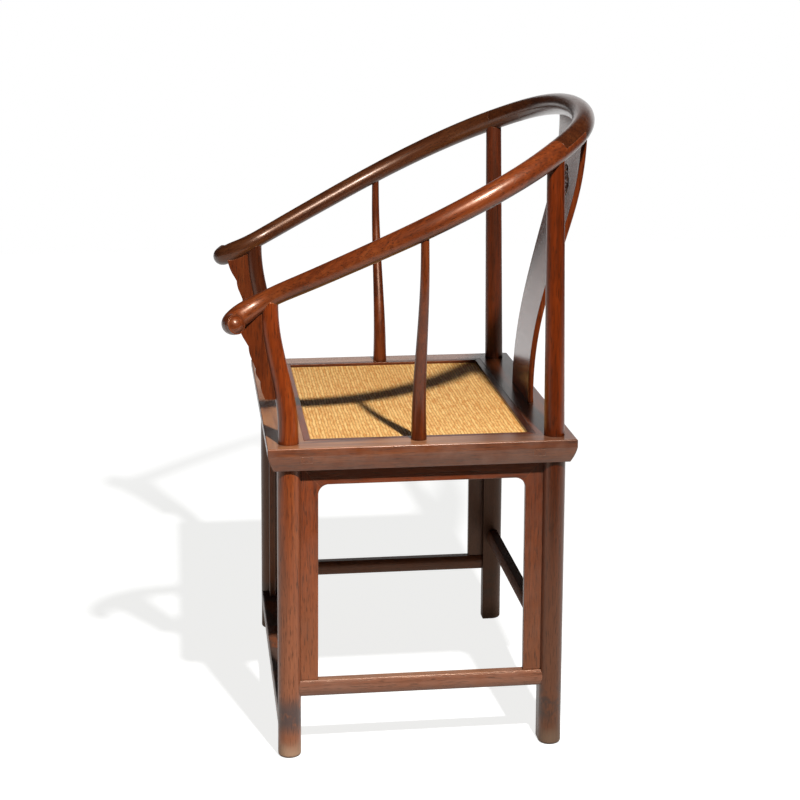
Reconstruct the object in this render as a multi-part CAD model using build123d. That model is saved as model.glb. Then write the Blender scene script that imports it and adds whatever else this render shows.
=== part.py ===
from build123d import *
import os
from math import atan2, cos, degrees, pi, radians, sin, tan

os.makedirs("parts", exist_ok=True)

# Horseshoe back armchair, in millimetres. The origin is on the floor under the middle of the seat
# frame. The sitter faces -Y, so +X is the sitter's left. +Z is up.

# ------------------------------------------------------------------ seat frame
seat_width = 597.0
seat_depth = 463.0
seat_height = 497.0
frame_thickness = 36.5
side_member_width = 52.5
end_member_width = 66.5  # of the front and back members
edge_flat = 12.0  # the moulded edge stays upright down to here, below the top
edge_inset = 9.0  # how far the moulded edge draws in at its underside
edge_round = 1.8
frame_tenon_width = 18.0
frame_tenon_height = 10.5

# ------------------------------------------------------------------ woven seat
rabbet_width = 10.5
strip_break = 0.5
strip_thickness = 5.0
cane_thickness = 2.0
coir_thickness = 3.0
brace_width = 24.0
brace_height = 14.0
brace_top_drop = 16.0  # brace ends lie this far below the top of the frame
brace_sag = 12.0
brace_spacing = 170.0
brace_tenon = 10.0

# ------------------------------------------------------------------ legs and posts
leg_diameter = 35.5
leg_setback = 32.5  # from the widest part of the seat frame's edge to a leg's axis
rear_leg_setback = 29.5  # from the widest part of the frame's back edge
foot_round = 4.0
splay_side = 6.0
splay_front = 6.0
splay_back = 0.6
post_base_diameter = 31.0
rear_post_top_diameter = 26.0
front_post_top_diameter = 25.0
neck_forward = 24.0  # how far the goose neck of a front post swings forward
neck_start = 25.0  # heights above the seat where the swing starts and ends
neck_end = 198.0
side_post_base_diameter = 23.5
side_post_top_diameter = 12.0
side_post_taper = 1.4
side_post_setback = -4.0
side_post_start = 30.0
side_post_end = 278.0
rear_post_top_inset = 2.0  # towards the middle, from the leg's axis
rear_post_top_forward = 6.0
post_tenon_diameter = 14.0
side_post_tenon_diameter = 8.0
post_tenon_length = 22.0

# ------------------------------------------------------------------ crest rail
arm_slope = 26.0  # degrees, the plane that the whole rail lies in
rail_mid_rise = 327.6  # of the rail's axis over the middle of the seat, above the seat
rail_overhang = 61.5  # crest and hands stand out this far past the seat frame
crest_lift = 5.0  # the crest rises this much out of the sloping plane
rail_back_diameter = 34.4
rail_front_diameter = 27.8
hand_diameter = 32.5
hand_tip_diameter = 29.6
hand_droop = 3.6
hand_curl = 4.0  # the end of the hand comes back this far from the outermost part of its bend
arm_spread = 30.5  # widest part of the rail's axis, outside the seat frame
hand_spread = 12.0  # the end of the hand, outside the seat frame
scarf_length = 66.0
scarf_peg_width = 5.0
scarf_behind_post = 26.0  # from a rear post's top to the middle of its scarf joint, across X

# ------------------------------------------------------------------ splat
splat_thickness = 9.0
splat_base_width = 142.0
splat_waist_width = 134.0
splat_top_width = 171.0
splat_waist_rise = 140.0  # above the seat
splat_shoulder_rise = 360.0  # above the seat, where the full top width is reached
splat_curve_reach = 0.91  # share of the splat's height over which it curves back
splat_curve_bias = 1.2  # above 1 the lower part stays upright for longer
splat_edge_round = 1.5
splat_base_setback = 27.5  # from the back edge of the seat frame
splat_tongue = 5.0
splat_tongue_depth = 12.0
medallion_width = 76.0
medallion_height = 78.0
medallion_rise = 340.0  # middle of the medallion, above the seat
medallion_depth = 2.0

# ------------------------------------------------------------------ hand brackets
bracket_thickness = 10.0
bracket_reach = 47.0  # front edge of the bracket's top, forward of the post's axis at the top
bracket_foot_reach = 33.0  # front of the bracket's foot, forward of the post's axis at the seat
bracket_foot_rise = 68.5  # above the seat
bracket_bulge = 1.6
# Front edge from the top (0, 0) to the foot (1, 1), as shares of its drop and of its run inwards.
bracket_lobe_ends = [(0.24, 0.26), (0.46, 0.48), (0.67, 0.66), (1.0, 1.0)]
bracket_lobe_starts = [(0.0, 0.0), (0.32, 0.40), (0.60, 0.65), (0.76, 0.81)]

# ------------------------------------------------------------------ aprons and stretchers
board_thickness = 10.0
apron_height = 28.0
board_width = 26.0
arch_radius = 16.0
back_apron_height = 18.0
tongue_thickness = 5.0
tongue_depth = 4.0
stretcher_width = 22.0
stretcher_top_width = 14.5
stretcher_height = 25.0
side_stretcher_top = 122.5
back_stretcher_top = 174.0
stretcher_tenon_width = 10.0
stretcher_tenon_height = 14.0
stretcher_tenon_length = 15.0
footrest_top = 72.0
footrest_thickness = 22.0
footrest_round = 4.0
footrest_apron_drop = 16.0
footrest_apron_end_drop = 30.0
footrest_apron_end_width = 24.0
footrest_apron_radius = 12.0

joint_clearance = 0.1
edge_break = 1.0

# ------------------------------------------------------------------ worked-out places
half_width = seat_width / 2
half_depth = seat_depth / 2
frame_bottom = seat_height - frame_thickness
leg_radius = leg_diameter / 2
leg_x = half_width - leg_setback
front_leg_y = leg_setback - half_depth  # of a leg's axis, at the seat
rear_leg_y = half_depth - rear_leg_setback
rabbet_depth = strip_thickness + cane_thickness + coir_thickness
inner_x = half_width - side_member_width
inner_y = half_depth - end_member_width
slope = tan(radians(arm_slope))
far = 2000.0  # larger than the chair, for cutting tools
over = 1.0  # how far a raw piece runs into its neighbour before it is scribed to it

SIDES = {"left": 1, "right": -1}


def smooth_step(t):
    """Run from 0 to 1 with level ends."""
    t = min(max(t, 0.0), 1.0)
    return t * t * (3 - 2 * t)


def block(low, high):
    """Box between two corners."""
    low = Vector(*low)
    high = Vector(*high)
    size = high - low
    middle = (low + high) * 0.5
    return Pos(middle.X, middle.Y, middle.Z) * Box(size.X, size.Y, size.Z)


def upright_loft(axis, diameter, low, high, stations):
    """Solid through level circles: axis(z) gives (x, y) and diameter(z) the width."""
    sections = []
    for step in range(stations + 1):
        z = low + (high - low) * step / stations
        x, y = axis(z)
        sections.append(Pos(x, y, z) * Circle(diameter(z) / 2))
    return loft(sections)


# ------------------------------------------------------------------ crest rail
def rail_height(y):
    """Height of the sloping plane that holds the rail's axis."""
    return seat_height + rail_mid_rise + slope * y


crest_y = half_depth + rail_overhang - rail_back_diameter / 2
rear_top = (leg_x - rear_post_top_inset, rear_leg_y - rear_post_top_forward)
side_top = (half_width + arm_spread, side_post_setback)
front_top = (leg_x, front_leg_y - neck_forward)
hand_bend_y = -half_depth - rail_overhang + hand_diameter / 2
hand_tip = (half_width + hand_spread, hand_bend_y + hand_curl)


def half_rail_plan():
    """Points of the rail's axis seen from above, from the crest to the sitter's left hand."""
    rear_x, rear_y = rear_top
    side_x, side_y = side_top
    front_x, front_y = front_top
    hand_x, hand_y = hand_tip
    crest_bow = crest_y - rear_y
    return [
        (0, crest_y),
        (0.42 * rear_x, crest_y - 0.09 * crest_bow),
        (0.76 * rear_x, crest_y - 0.42 * crest_bow),
        (rear_x, rear_y),
        (rear_x + 0.66 * (side_x - rear_x), rear_y + 0.28 * (side_y - rear_y)),
        (side_x, rear_y + 0.64 * (side_y - rear_y)),
        (side_x, side_y),
        (front_x + 0.64 * (side_x - front_x), side_y + 0.43 * (front_y - side_y)),
        (front_x + 0.22 * (side_x - front_x), side_y + 0.79 * (front_y - side_y)),
        (front_x - 1, front_y),
        (front_x + 4, hand_bend_y + 19),
        (front_x + 19, hand_bend_y),
        (hand_x, hand_y),
    ]


def hand_share(x, y):
    """0 at the front posts, 1 at the end of a hand."""
    bend_length = front_top[1] - hand_bend_y
    turned_out = max(abs(x) - front_top[0], 0.0)
    run = min(max(front_top[1] - y, 0.0), bend_length) + turned_out
    return run / (bend_length + hand_tip[0] - front_top[0]) if y < front_top[1] else 0.0


def rail_axis():
    """One spline from the sitter's right hand round the crest to the left hand."""
    left = half_rail_plan()
    right = [(-x, y) for x, y in reversed(left[1:])]
    points = []
    for x, y in right + left:
        lift = crest_lift * smooth_step(1 - abs(x) / rear_top[0])
        droop = hand_droop * smooth_step(hand_share(x, y))
        points.append((x, y, rail_height(y) + lift - droop))
    return Spline(*points)


def rail_diameter(x, y):
    """Full at the crest, finer towards the hands, which swell and then draw in at the tip."""
    share = (y - front_top[1]) / (rear_top[1] - front_top[1])
    share = min(max(share, 0.0), 1.0)
    along_hand = hand_share(x, y)
    size = rail_front_diameter + (rail_back_diameter - rail_front_diameter) * share
    size += (hand_diameter - rail_front_diameter) * smooth_step(2 * along_hand)
    return size - (hand_diameter - hand_tip_diameter) * smooth_step(2 * along_hand - 1)


def rail_solid(axis, stations=64):
    """Round rail with swelling, out-turned hands that end in half a ball.

    Its cross-sections stand closer together towards the bends of the hands.
    """
    plane_normal = Vector(0, -sin(radians(arm_slope)), cos(radians(arm_slope)))

    def across(where, outward=1):
        along = axis % where
        upward = plane_normal - along * plane_normal.dot(along)
        return Plane(origin=axis @ where, x_dir=upward, z_dir=along * outward)

    sections = []
    for step in range(stations + 1):
        plane = across((1 - cos(pi * step / stations)) / 2)
        sections.append(plane * Circle(rail_diameter(plane.origin.X, plane.origin.Y) / 2))
    rail = loft(sections)
    half_ball = Sphere(hand_tip_diameter / 2, arc_size1=0)
    return rail + across(0, -1) * half_ball + across(1) * half_ball


def scarf_frame(axis, side):
    """Plane at the middle of a scarf joint: x runs along the rail to the hand, z is up."""
    low = 0.5
    high = 1.0
    target = rear_top[0] - scarf_behind_post
    for _ in range(40):
        middle = (low + high) / 2
        if (axis @ middle).X < target:
            low = middle
        else:
            high = middle
    where = low if side > 0 else 1 - low
    along = (axis % where) * side
    plane_normal = Vector(0, -sin(radians(arm_slope)), cos(radians(arm_slope)))
    upward = plane_normal - along * plane_normal.dot(along)
    return Plane(origin=axis @ where, x_dir=along, z_dir=upward)


def scarf_zone(joint):
    """Space that belongs to the arm: all past the lap, and the lower half of the lap."""
    reach = rail_back_diameter * 2
    past_lap = block((scarf_length / 2, -far, -far), (far, far, far))
    lower_lap = block((-scarf_length / 2, -reach, -reach), (scarf_length / 2, reach, 0))
    return joint * (past_lap + lower_lap)


# ------------------------------------------------------------------ legs and posts
def leg_center(side, end, z):
    """Axis of a leg. side is +1 or -1 across X; end is -1 at the front and +1 at the back."""
    drop = 1 - z / frame_bottom
    y = front_leg_y - splay_front * drop if end < 0 else rear_leg_y + splay_back * drop
    return (side * (leg_x + splay_side * drop), y)


def leg_section(side, end, z):
    """Round outside, square towards the inside of the chair."""
    x, y = leg_center(side, end, z)
    square = Pos(-side * leg_radius / 2, -end * leg_radius / 2) * Rectangle(leg_radius, leg_radius)
    return Pos(x, y, z) * (Circle(leg_radius) + square)


def lower_leg(side, end):
    """Leg from the floor to the underside of the seat frame, with an eased foot."""
    leg = loft([leg_section(side, end, 0), leg_section(side, end, frame_bottom)], ruled=True)
    sole = leg.faces().sort_by(Axis.Z)[0]
    return fillet(sole.edges(), foot_round)


def straight_taper(base, top, base_diameter, top_diameter, low, high):
    """Axis and diameter functions of a straight tapered post."""

    def axis(z):
        share = (z - low) / (high - low)
        return (base[0] + (top[0] - base[0]) * share, base[1] + (top[1] - base[1]) * share)

    def diameter(z):
        share = max((z - low) / (high - low), 0.0)
        return base_diameter + (top_diameter - base_diameter) * share

    return axis, diameter


def rear_post(side, shrink=0.0):
    """Upright above the seat frame, up to the rail's axis."""
    top_z = rail_height(rear_top[1])
    base = (side * leg_x, rear_leg_y)
    top = (side * rear_top[0], rear_top[1])
    axis, diameter = straight_taper(
        base, top, post_base_diameter, rear_post_top_diameter, seat_height, top_z
    )
    return upright_loft(axis, lambda z: diameter(z) - shrink, seat_height, top_z, 2)


def front_post(side, shrink=0.0):
    """Goose-necked upright above the seat frame, up to the rail's axis."""
    top_z = rail_height(front_top[1])

    def axis(z):
        above = z - seat_height
        swing = smooth_step((above - neck_start) / (neck_end - neck_start))
        return (side * leg_x, front_leg_y - neck_forward * swing)

    def diameter(z):
        share = (z - seat_height) / (top_z - seat_height)
        return post_base_diameter + (front_post_top_diameter - post_base_diameter) * share - shrink

    return upright_loft(axis, diameter, seat_height, top_z, 10)


def side_post(side):
    """Slender S-curved upright between a side member and the widest part of the rail."""
    top_z = rail_height(side_post_setback)

    def axis(z):
        above = z - seat_height
        swing = smooth_step((above - side_post_start) / (side_post_end - side_post_start))
        return (side * (leg_x + (side_top[0] - leg_x) * swing), side_post_setback)

    def diameter(z):
        share = (z - seat_height) / (top_z - seat_height)
        spare = side_post_base_diameter - side_post_top_diameter
        return side_post_top_diameter + spare * max(1 - share, 0.0) ** side_post_taper

    return upright_loft(axis, diameter, seat_height, top_z, 12)


def peg_hole(x, y, low, high, diameter, clearance=0.0):
    """Upright round tenon, or its mortise when a clearance is given."""
    radius = diameter / 2 + clearance
    height = high - low + 2 * clearance
    return Pos(x, y, (low + high) / 2) * Cylinder(radius, height)


def top_tenon(x, y, diameter, clearance=0.0):
    """Tenon of a post in the underside of the rail."""
    axis_z = rail_height(y)
    rail_radius = rail_diameter(x, y) / 2
    return peg_hole(x, y, axis_z - rail_radius, axis_z + rail_radius / 3, diameter, clearance)


# ------------------------------------------------------------------ seat frame
def frame_section(half):
    """Section right across the frame, moulded at both edges: x outwards, y up."""
    top = seat_height
    curve_height = frame_thickness - edge_flat
    lip = edge_round * (1 - cos(radians(45)))
    with BuildSketch() as sketch:
        with BuildLine():
            Line((0, frame_bottom), (half - edge_inset, frame_bottom))
            ThreePointArc(
                (half - edge_inset, frame_bottom),
                (half - 0.38 * edge_inset, frame_bottom + curve_height / 2),
                (half, top - edge_flat),
            )
            Line((half, top - edge_flat), (half, top - edge_round))
            ThreePointArc((half, top - edge_round), (half - lip, top - lip), (half - edge_round, top))
            Polyline((half - edge_round, top), (0, top), (0, frame_bottom))
        make_face()
        mirror(about=Plane.YZ)
    return sketch.sketch


def frame_body():
    """The four members of the seat frame as one, with the rabbet for the weave."""
    across = Plane(origin=(0, half_depth + over, 0), x_dir=(1, 0, 0), z_dir=(0, -1, 0))
    along = Plane(origin=(-half_width - over, 0, 0), x_dir=(0, 1, 0), z_dir=(1, 0, 0))
    body = extrude(across * frame_section(half_width), amount=seat_depth + 2 * over)
    body &= extrude(along * frame_section(half_depth), amount=seat_width + 2 * over)
    rabbet_x = inner_x + rabbet_width
    rabbet_y = inner_y + rabbet_width
    top = seat_height + over
    body -= block((-inner_x, -inner_y, frame_bottom - over), (inner_x, inner_y, top))
    return body - block((-rabbet_x, -rabbet_y, seat_height - rabbet_depth), (rabbet_x, rabbet_y, top))


def member_zone(end_axis, end):
    """Space of one member, between the mitres that run from the outer to the inner corners."""
    if end_axis == "y":
        points = [(-half_width, end * half_depth), (half_width, end * half_depth)]
        points += [(inner_x, end * inner_y), (-inner_x, end * inner_y)]
    else:
        points = [(end * half_width, -half_depth), (end * half_width, half_depth)]
        points += [(end * inner_x, inner_y), (end * inner_x, -inner_y)]
    return extrude(make_face(Polyline(*points, close=True)), amount=far, both=True)


def frame_tenon(side, end, clearance=0.0):
    """Through tenon of a front or back member, beside the leg and seen on the side's outer face."""
    inner_edge = end * inner_y
    outer_edge = end * (inner_y + frame_tenon_width)
    middle_z = (frame_bottom + seat_height) / 2
    x_root = side * (inner_x - 0.01)
    x_end = side * half_width
    y_low = min(inner_edge, outer_edge) - clearance
    y_high = max(inner_edge, outer_edge) + clearance
    half_height = frame_tenon_height / 2 + clearance
    return block(
        (min(x_root, x_end), y_low, middle_z - half_height),
        (max(x_root, x_end), y_high, middle_z + half_height),
    )


def ring_strip(half_x, half_y, width, low, high, end_axis, end):
    """One mitred side of a rectangular ring whose inner edge is at half_x, half_y."""
    outer_x = half_x + width
    outer_y = half_y + width
    if end_axis == "y":
        points = [(-outer_x, end * outer_y), (outer_x, end * outer_y)]
        points += [(half_x, end * half_y), (-half_x, end * half_y)]
    else:
        points = [(end * outer_x, -outer_y), (end * outer_x, outer_y)]
        points += [(end * half_x, half_y), (end * half_x, -half_y)]
    strip = extrude(make_face(Polyline(*points, close=True)), amount=high - low)
    strip = chamfer(strip.faces().sort_by(Axis.Z)[-1].edges(), strip_break)
    return Pos(0, 0, low) * strip


def seat_brace(side):
    """Bowed brace under the weave, from the front member to the back member."""
    top = seat_height - brace_top_drop
    x = side * brace_spacing / 2
    with BuildSketch() as sketch:
        with BuildLine():
            ThreePointArc((-inner_y, top), (0, top - brace_sag), (inner_y, top))
            Line((inner_y, top), (inner_y, top - brace_height))
            ThreePointArc(
                (inner_y, top - brace_height),
                (0, top - brace_height - brace_sag),
                (-inner_y, top - brace_height),
            )
            Line((-inner_y, top - brace_height), (-inner_y, top))
        make_face()
    plane = Plane(origin=(x - brace_width / 2, 0, 0), x_dir=(0, 1, 0), z_dir=(1, 0, 0))
    return extrude(plane * sketch.sketch, amount=brace_width)


def brace_tenon_block(side, end, clearance=0.0):
    """Stub tenon of a brace in the front or back member."""
    x = side * brace_spacing / 2
    half = brace_width / 2 - 4
    top = seat_height - brace_top_drop - 3
    root = end * (inner_y - 0.01)
    tip = end * (inner_y + brace_tenon)
    return block(
        (x - half - clearance, min(root, tip) - clearance, top - brace_height + 6 - clearance),
        (x + half + clearance, max(root, tip) + clearance, top + clearance),
    )


# ------------------------------------------------------------------ splat
def splat_y(z):
    """Axis of the splat's S-curve seen from the side."""
    low = seat_height
    high = rail_height(crest_y)
    base_y = half_depth - splat_base_setback
    share = max((z - low) / (splat_curve_reach * (high - low)), 0.0)
    return base_y + (crest_y + 2 - base_y) * smooth_step(share**splat_curve_bias)


def splat_lean(z):
    """Direction of the splat's axis at a height, as (y, z)."""
    dy = splat_y(z + 1) - splat_y(z - 1)
    length = (dy * dy + 4) ** 0.5
    return dy / length, 2 / length


def splat_slab(thickness, low, high, width):
    """Curved slab of constant thickness."""
    front = []
    back = []
    stations = 8
    for step in range(stations + 1):
        z = low + (high - low) * step / stations
        lean_y, lean_z = splat_lean(z)
        front.append((splat_y(z) - lean_z * thickness / 2, z + lean_y * thickness / 2))
        back.append((splat_y(z) + lean_z * thickness / 2, z - lean_y * thickness / 2))
    with BuildSketch() as sketch:
        with BuildLine():
            Spline(*front)
            Line(front[-1], back[-1])
            Spline(*reversed(back))
            Line(back[0], front[0])
        make_face()
    plane = Plane(origin=(-width / 2, 0, 0), x_dir=(0, 1, 0), z_dir=(1, 0, 0))
    return extrude(plane * sketch.sketch, amount=width)


def splat_outline(low, high):
    """Front view of the splat: waisted, wider at the top."""
    waist_z = low + splat_waist_rise
    shoulder_z = low + splat_shoulder_rise
    base = splat_base_width / 2
    waist = splat_waist_width / 2
    top = splat_top_width / 2
    with BuildSketch() as sketch:
        with BuildLine():
            right = Spline(
                (base, low), (waist, waist_z), (top, shoulder_z), tangents=((-0.1, 1), (0, 1))
            )
            Polyline((top, shoulder_z), (top, high), (-top, high), (-top, shoulder_z))
            mirror(right, about=Plane.YZ)
            Line((-base, low), (base, low))
        make_face()
    plane = Plane(origin=(0, far / 2, 0), x_dir=(1, 0, 0), z_dir=(0, -1, 0))
    return extrude(plane * sketch.sketch, amount=far)


def medallion_ground():
    """Sunk field of the carved cloud-head medallion, with lobes above and a point below."""
    half = medallion_width / 2
    lobe = medallion_width * 0.27
    with BuildSketch() as sketch:
        with Locations((0, medallion_height * 0.20)):
            Circle(lobe)
        with Locations((half - lobe, 0), (lobe - half, 0)):
            Circle(lobe)
        with Locations((0, -medallion_height * 0.20)):
            RegularPolygon(medallion_height * 0.30, 3, rotation=-90)
        with Locations((0, 0)):
            Rectangle(medallion_width * 0.5, medallion_height * 0.3)
    middle = seat_height + medallion_rise
    plane = Plane(origin=(0, far / 2, middle), x_dir=(1, 0, 0), z_dir=(0, -1, 0))
    column = extrude(plane * sketch.sketch, amount=far)
    low = middle - medallion_height
    high = middle + medallion_height
    skins = splat_slab(splat_thickness + 2 * over, low, high, medallion_width)
    skins -= splat_slab(splat_thickness - 2 * medallion_depth, low - over, high + over, splat_top_width)
    return (skins & column).solids().sort_by(Axis.Y)[0]


# ------------------------------------------------------------------ hand brackets
def bracket_sheet(side, thickness):
    """Cusped sheet between the rail, the front post and its own lobed front edge."""
    post_y = front_top[1]
    top_z = rail_height(post_y)
    toe_y = post_y - bracket_reach
    toe_z = rail_height(toe_y) - rail_front_diameter / 3
    foot_y = front_leg_y - bracket_foot_reach
    foot_z = seat_height + bracket_foot_rise

    def place(shares):
        down, inwards = shares
        return (toe_y + (foot_y - toe_y) * inwards, toe_z + (foot_z - toe_z) * down)

    starts = [place(shares) for shares in bracket_lobe_starts]
    ends = [place(shares) for shares in bracket_lobe_ends]
    with BuildSketch() as sketch:
        with BuildLine():
            for start, end in zip(starts, ends):
                run = Vector(*end) - Vector(*start)
                outward = Vector(run.Y, -run.X).normalized()
                bulge = bracket_bulge * min(run.length / (toe_z - foot_z) * 4, 1)
                middle = (Vector(*start) + Vector(*end)) * 0.5 + outward * bulge
                ThreePointArc(start, (middle.X, middle.Y), end)
            for end, start in zip(ends, starts[1:]):
                Line(end, start)
            Polyline(ends[-1], (front_leg_y, foot_z), (post_y, top_z), starts[0])
        make_face()
    sheet = extrude(sketch.sketch, amount=thickness / 2, both=True)
    return Plane(origin=(side * leg_x, 0, 0), x_dir=(0, 1, 0), z_dir=(1, 0, 0)) * sheet


# ------------------------------------------------------------------ aprons
def arch_face(low_span, high_span, low, high, board, head, radius):
    """Three-sided surround: a head board over two upright boards, with rounded inner corners.

    A span is a pair of places along the sketch's x where the legs' inner faces are.
    """
    inner_top = high - head
    lean_left = (high_span[0] - low_span[0]) / (high - low)
    lean_right = (high_span[1] - low_span[1]) / (high - low)
    outer = make_face(
        Polyline(
            (low_span[0], low), (high_span[0], high), (high_span[1], high), (low_span[1], low),
            close=True,
        )
    )
    opening = make_face(
        Polyline(
            (low_span[0] + board - lean_left * over, low - over),
            (high_span[0] + board - lean_left * head, inner_top),
            (high_span[1] - board - lean_right * head, inner_top),
            (low_span[1] - board - lean_right * over, low - over),
            close=True,
        )
    )
    corners = opening.vertices().group_by(Axis.Y)[-1]
    return outer - fillet(corners, radius)


def mitre_tool(high_span, high, board, head):
    """Wedge that holds the head board, bounded by the two mitres."""
    run = 2.4
    return make_face(
        Polyline(
            (high_span[0] - board, high + head),
            (high_span[1] + board, high + head),
            (high_span[1] - run * board, high - run * head),
            (high_span[0] + run * board, high - run * head),
            close=True,
        )
    )


def build_arch(plane, low_span, high_span, low, neighbours):
    """Head board, two upright boards and the grooves that their tongues need."""
    high = frame_bottom
    raw_face = arch_face(
        (low_span[0] - over, low_span[1] + over), (high_span[0] - over, high_span[1] + over),
        low - over, high + over, board_width + over, apron_height + over, arch_radius,
    )
    boards = extrude(raw_face, amount=board_thickness / 2, both=True)
    sill = low_span[0] + 0.8 * board_width
    opening_edges = boards.edges().filter_by(
        lambda edge: abs(edge.center().X) < abs(sill)
        and edge.center().Y < high - apron_height / 2
        and abs(abs(edge.center().Z) - board_thickness / 2) < edge_break / 2
    )
    boards = plane * fillet(opening_edges, edge_break)
    for neighbour in neighbours:
        boards -= neighbour
    deep = tongue_depth
    tongue_face = arch_face(
        (low_span[0] - deep, low_span[1] + deep), (high_span[0] - deep, high_span[1] + deep),
        low + joint_clearance, high + deep, board_width + deep, apron_height + deep, arch_radius,
    )
    tongue = extrude(plane * tongue_face, amount=tongue_thickness / 2, both=True)
    slack = deep + joint_clearance
    groove_face = arch_face(
        (low_span[0] - slack, low_span[1] + slack), (high_span[0] - slack, high_span[1] + slack),
        low, high + slack, board_width + slack, apron_height + slack, arch_radius,
    )
    groove = extrude(plane * groove_face, amount=tongue_thickness / 2 + joint_clearance, both=True)
    whole = boards + tongue
    wedge = mitre_tool(high_span, high, board_width, apron_height)
    head_zone = extrude(plane * wedge, amount=board_thickness, both=True)
    middle = (high_span[0] + high_span[1]) / 2
    first_half = make_face(
        Polyline((middle - far, -far), (middle, -far), (middle, far), (middle - far, far), close=True)
    )
    first_zone = extrude(plane * first_half, amount=board_thickness, both=True)
    uprights = whole - head_zone
    return whole & head_zone, uprights & first_zone, uprights - first_zone, groove


def leg_face_y(end, z):
    """Inner flat face of a leg, towards the other leg of the same side."""
    return leg_center(1, end, z)[1] - end * leg_radius


def leg_face_x(end, z):
    """Inner flat face of a left leg, towards the right leg."""
    return leg_center(1, end, z)[0] - leg_radius


def tilted_plane(origin, across, splay):
    """Upright plane that leans with the splay of the legs; x runs across, y up from the floor."""
    lean = atan2(splay, frame_bottom)
    across = Vector(*across)
    upright = Vector(0, 0, 1)
    outward = across.cross(upright)
    normal = outward * cos(lean) + upright * sin(lean)
    plane = Plane(origin=origin, x_dir=across, z_dir=normal)
    lift = plane.y_dir * -frame_bottom
    return Plane(origin=Vector(*origin) + lift, x_dir=across, z_dir=normal)


# ------------------------------------------------------------------ stretchers
def stretcher_bar(length):
    """Bar along X, centred: flat on top and below, with faces that swell between them."""
    flat = stretcher_top_width / 2
    belly = stretcher_width / 2
    high = stretcher_height / 2
    with BuildSketch() as sketch:
        with BuildLine():
            Line((-flat, -high), (flat, -high))
            ThreePointArc((flat, -high), (belly, 0), (flat, high))
            Line((flat, high), (-flat, high))
            ThreePointArc((-flat, high), (-belly, 0), (-flat, -high))
        make_face()
        fillet(sketch.vertices(), edge_break)
    across = Plane(origin=(0, 0, 0), x_dir=(0, 1, 0), z_dir=(1, 0, 0))
    return extrude(across * sketch.sketch, amount=length / 2, both=True)


def stretcher_tenon(place, along, clearance=0.0):
    """Block tenon that starts just inside a stretcher's end and runs along the given direction."""
    length = stretcher_tenon_length + leg_radius / 2 + clearance
    center = place + along * (length / 2 - leg_radius / 2)
    width = stretcher_tenon_width + 2 * clearance
    height = stretcher_tenon_height + 2 * clearance
    if abs(along.X) > 0.5:
        size = (length, width, height)
    else:
        size = (width, length, height)
    return Pos(center.X, center.Y, center.Z) * Box(*size)


# ================================================================== build
parts = {}

# ---- rail, before it is split
axis = rail_axis()
rail = rail_solid(axis)

# ---- legs with their posts
legs = {}
for side_name, side in SIDES.items():
    for end_name, end in (("front", -1), ("rear", 1)):
        leg = lower_leg(side, end)
        base_y = front_leg_y if end < 0 else rear_leg_y
        shaft = peg_hole(side * leg_x, base_y, frame_bottom, seat_height, post_base_diameter)
        post = front_post(side) if end < 0 else rear_post(side)
        top = front_top if end < 0 else rear_top
        post -= rail
        tenon = top_tenon(side * top[0], top[1], post_tenon_diameter)
        legs[end_name, side_name] = leg + shaft + post + tenon

# ---- side posts
for side_name, side in SIDES.items():
    post = side_post(side) - rail
    post += top_tenon(side * side_top[0], side_top[1], side_post_tenon_diameter)
    post += peg_hole(
        side * leg_x, side_post_setback, seat_height - post_tenon_length, seat_height,
        post_tenon_diameter,
    )
    parts["side_post_" + side_name] = post

# ---- seat frame
stock = frame_body()
frame = {
    "front": stock & member_zone("y", -1),
    "back": stock & member_zone("y", 1),
    "left": stock & member_zone("x", 1),
    "right": stock & member_zone("x", -1),
}
for side_name, side in SIDES.items():
    for end_name, end in (("front", -1), ("back", 1)):
        base_y = front_leg_y if end < 0 else rear_leg_y
        hole = peg_hole(
            side * leg_x, base_y, frame_bottom, seat_height, post_base_diameter, joint_clearance
        )
        mortise = frame_tenon(side, end, joint_clearance)
        frame[side_name] -= mortise + hole
        frame[end_name] += frame_tenon(side, end) & stock
        frame[end_name] -= hole
    frame[side_name] -= peg_hole(
        side * leg_x, side_post_setback, seat_height - post_tenon_length, seat_height,
        post_tenon_diameter, joint_clearance,
    )

# ---- braces under the weave
for side_name, side in SIDES.items():
    brace = seat_brace(side)
    for end_name, end in (("front", -1), ("back", 1)):
        brace += brace_tenon_block(side, end)
        frame[end_name] -= brace_tenon_block(side, end, joint_clearance)
    parts["seat_brace_" + side_name] = brace

# ---- weave, its underlay and the strips that hold it in the rabbet
weave_x = inner_x + rabbet_width - joint_clearance
weave_y = inner_y + rabbet_width - joint_clearance
coir_low = seat_height - rabbet_depth
cane_low = coir_low + coir_thickness
strip_low = cane_low + cane_thickness
parts["coir_underweave"] = block((-weave_x, -weave_y, coir_low), (weave_x, weave_y, cane_low))
parts["cane_seat"] = block((-weave_x, -weave_y, cane_low), (weave_x, weave_y, strip_low))
strip_width = rabbet_width - joint_clearance
for name, end_axis, end in (("front", "y", -1), ("back", "y", 1), ("left", "x", 1), ("right", "x", -1)):
    parts["seat_strip_" + name] = ring_strip(
        inner_x, inner_y, strip_width, strip_low, seat_height, end_axis, end
    )

# ---- stretchers and footrest
side_z = side_stretcher_top - stretcher_height / 2
back_z = back_stretcher_top - stretcher_height / 2
foot_z = footrest_top - footrest_thickness / 2
foot_bottom = footrest_top - footrest_thickness

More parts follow.
